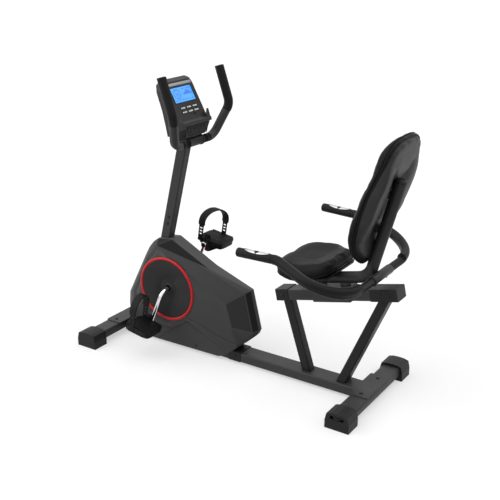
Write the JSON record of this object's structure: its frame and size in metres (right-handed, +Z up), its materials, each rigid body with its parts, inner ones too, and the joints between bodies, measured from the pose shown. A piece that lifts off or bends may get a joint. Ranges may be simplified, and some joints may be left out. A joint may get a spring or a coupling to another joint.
{
  "type": "exercise bike",
  "caption": "Recumbent magnetic exercise bike: sliding padded seat with backrest and side handles, low beam frame, enclosed flywheel drive with crank and strapped pedals, mast with console.",
  "frame": {"origin": "on the floor, at the middle of the bike's length and width", "axes": "+X forward from the seat to the front foot, +Y to the rider's left, +Z up"},
  "size_m": [1.4342, 0.701, 1.2191],
  "materials": {
    "frame_paint": "satin black powder coat",
    "foot_plastic": "moulded black plastic",
    "casing_plastic": "fine-grained charcoal plastic",
    "disc_plastic": "satin black plastic",
    "ring_red": "satin red plastic",
    "chrome": "polished chrome",
    "steel": "plain machined steel",
    "cast": "machined cast iron",
    "bolt_black": "black oxide",
    "pedal_plastic": "pebbled black plastic",
    "strap_rubber": "soft black rubber",
    "wheel_rubber": "hard grey rubber",
    "belt_rubber": "ribbed rubber",
    "grip_foam": "closed-cell foam",
    "screen": "lit blue display behind a clear lens",
    "key_plastic": "soft-touch keys",
    "seat_vinyl": "black synthetic leather",
    "shell_plastic": "satin dark grey plastic",
    "liner_plastic": "slippery nylon"
  },
  "bodies": {
    "frame": {"main_beam": "frame_paint", "foot_tubes": "frame_paint", "rear_foot_caps": "foot_plastic", "front_foot_caps": "foot_plastic", "frame_bolts": "bolt_black", "front_strut": "frame_paint", "rear_strut": "frame_paint", "seat_rail": "frame_paint", "lower_post": "frame_paint", "mast": "frame_paint", "drive_brackets": "frame_paint", "crank_bearings": "steel", "flywheel_axle": "steel", "drive_belt": "belt_rubber", "resistance_motor": "foot_plastic", "casing_left": "casing_plastic", "casing_right": "casing_plastic", "disc_covers": "disc_plastic", "ring_trims": "ring_red", "cover_screws": "bolt_black", "beam_collar": "foot_plastic", "power_socket": "foot_plastic", "front_handlebar": "frame_paint", "handlebar_clamp": "foot_plastic", "console_front": "casing_plastic", "console_back": "casing_plastic", "screen_lens": "screen"},
    "leveller_left": {"leveller_left": "foot_plastic"},
    "leveller_right": {"leveller_right": "foot_plastic"},
    "transport_wheel_left": {"transport_wheel_left": "wheel_rubber"},
    "transport_wheel_right": {"transport_wheel_right": "wheel_rubber"},
    "crank": {"crank": "chrome", "drive_pulley": "disc_plastic", "pedal_spindles": "steel"},
    "pedal_left": {"pedal_left": "pedal_plastic", "strap_left": "strap_rubber"},
    "pedal_right": {"pedal_right": "pedal_plastic", "strap_right": "strap_rubber"},
    "flywheel": {"flywheel": "cast"},
    "magnet_arm": {"magnet_arm": "steel", "brake_magnets": "cast"},
    "seat": {"seat_carriage": "frame_paint", "carriage_liners": "liner_plastic", "seat_post": "frame_paint", "post_cap": "foot_plastic", "seat_pan": "foot_plastic", "seat_pad": "seat_vinyl", "back_shell": "shell_plastic", "back_pad": "seat_vinyl", "side_handlebar": "frame_paint", "side_grips": "grip_foam", "pulse_plates": "chrome", "seat_bolts": "bolt_black"},
    "lock_lever": {"lock_lever": "foot_plastic"},
    "key_1": {"key_1": "key_plastic"},
    "key_2": {"key_2": "key_plastic"},
    "key_3": {"key_3": "key_plastic"},
    "key_4": {"key_4": "key_plastic"},
    "key_5": {"key_5": "key_plastic"},
    "key_6": {"key_6": "key_plastic"}
  },
  "joints": [
    {"name": "crank_spin", "type": "hinge", "parent": "frame", "child": "crank", "pos_m": [0.34915, 0, 0.283], "axis": [0, 1, 0], "continuous": true},
    {"name": "pedal_left_spin", "type": "hinge", "parent": "crank", "child": "pedal_left", "pos_m": [0.40693, 0, 0.12845], "axis": [0, 1, 0], "continuous": true},
    {"name": "pedal_right_spin", "type": "hinge", "parent": "crank", "child": "pedal_right", "pos_m": [0.29137, 0, 0.43755], "axis": [0, 1, 0], "continuous": true},
    {"name": "flywheel_spin", "type": "hinge", "parent": "frame", "child": "flywheel", "pos_m": [0.10915, 0, 0.235], "axis": [0, 1, 0], "continuous": true},
    {"name": "magnet_arm_tilt", "type": "hinge", "parent": "frame", "child": "magnet_arm", "pos_m": [0.20101, 0, 0.31977], "axis": [0, 1, 0], "range_deg": [0, 4]},
    {"name": "seat_slide", "type": "slide", "parent": "frame", "child": "seat", "axis": [0.9755, 0, -0.2198], "range_m": [-0.08, 0.105]},
    {"name": "lock_lever_lift", "type": "hinge", "parent": "seat", "child": "lock_lever", "pos_m": [-0.42439, 0, 0.41913], "axis": [0, 1, 0], "range_deg": [-25, 0]},
    {"name": "leveller_left_turn", "type": "hinge", "parent": "frame", "child": "leveller_left", "pos_m": [-0.59085, 0.25, 0], "axis": [0, 0, 1], "continuous": true},
    {"name": "transport_wheel_left_spin", "type": "hinge", "parent": "frame", "child": "transport_wheel_left", "pos_m": [0.69515, 0.254, 0.027], "axis": [0, 1, 0], "continuous": true},
    {"name": "leveller_right_turn", "type": "hinge", "parent": "frame", "child": "leveller_right", "pos_m": [-0.59085, -0.25, 0], "axis": [0, 0, 1], "continuous": true},
    {"name": "transport_wheel_right_spin", "type": "hinge", "parent": "frame", "child": "transport_wheel_right", "pos_m": [0.69515, -0.254, 0.027], "axis": [0, 1, 0], "continuous": true},
    {"name": "key_1_press", "type": "slide", "parent": "frame", "child": "key_1", "axis": [0.8746, 0, -0.4848], "range_m": [0, 0.0015], "stiffness_N_per_m": 400, "springref_m": -0.0005},
    {"name": "key_2_press", "type": "slide", "parent": "frame", "child": "key_2", "axis": [0.8746, 0, -0.4848], "range_m": [0, 0.0015], "stiffness_N_per_m": 400, "springref_m": -0.0005},
    {"name": "key_3_press", "type": "slide", "parent": "frame", "child": "key_3", "axis": [0.8746, 0, -0.4848], "range_m": [0, 0.0015], "stiffness_N_per_m": 400, "springref_m": -0.0005},
    {"name": "key_4_press", "type": "slide", "parent": "frame", "child": "key_4", "axis": [0.8746, 0, -0.4848], "range_m": [0, 0.0015], "stiffness_N_per_m": 400, "springref_m": -0.0005},
    {"name": "key_5_press", "type": "slide", "parent": "frame", "child": "key_5", "axis": [0.8746, 0, -0.4848], "range_m": [0, 0.0015], "stiffness_N_per_m": 400, "springref_m": -0.0005},
    {"name": "key_6_press", "type": "slide", "parent": "frame", "child": "key_6", "axis": [0.8746, 0, -0.4848], "range_m": [0, 0.0015], "stiffness_N_per_m": 400, "springref_m": -0.0005}
  ],
  "couplings": [
    {"joint": "flywheel_spin", "follows": "crank_spin", "ratio": 7}
  ]
}
